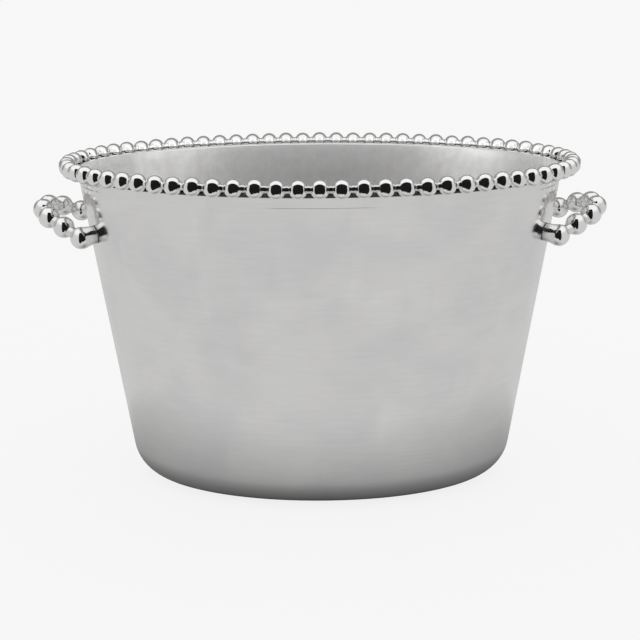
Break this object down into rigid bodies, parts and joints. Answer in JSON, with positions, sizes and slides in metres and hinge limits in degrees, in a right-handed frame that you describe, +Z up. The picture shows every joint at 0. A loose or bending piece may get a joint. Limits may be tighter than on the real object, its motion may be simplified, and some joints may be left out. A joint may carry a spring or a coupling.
{
  "type": "champagne bucket",
  "caption": "Oval tapered champagne bucket in satin cast aluminium with a beaded border round the lip and a bright beaded loop handle at each end.",
  "frame": {"origin": "middle of the flat base, at the height of the surface the bucket stands on", "axes": "+X along the long axis of the oval towards the right handle, +Y away from the viewer along the short axis, +Z up"},
  "size_m": [0.3658, 0.2458, 0.2129],
  "materials": {
    "satin_aluminium": "cast aluminium, satin polished",
    "bright_aluminium": "cast aluminium, bright polished",
    "stainless_screws": "turned stainless steel"
  },
  "bodies": {
    "root": {"bucket_shell": "satin_aluminium", "beaded_border": "bright_aluminium", "handle_left": "bright_aluminium", "handle_right": "bright_aluminium", "handle_screw_left_front": "stainless_screws", "handle_screw_left_back": "stainless_screws", "handle_screw_right_front": "stainless_screws", "handle_screw_right_back": "stainless_screws", "handle_washer_left_front": "stainless_screws", "handle_washer_left_back": "stainless_screws", "handle_washer_right_front": "stainless_screws", "handle_washer_right_back": "stainless_screws"}
  },
  "joints": []
}
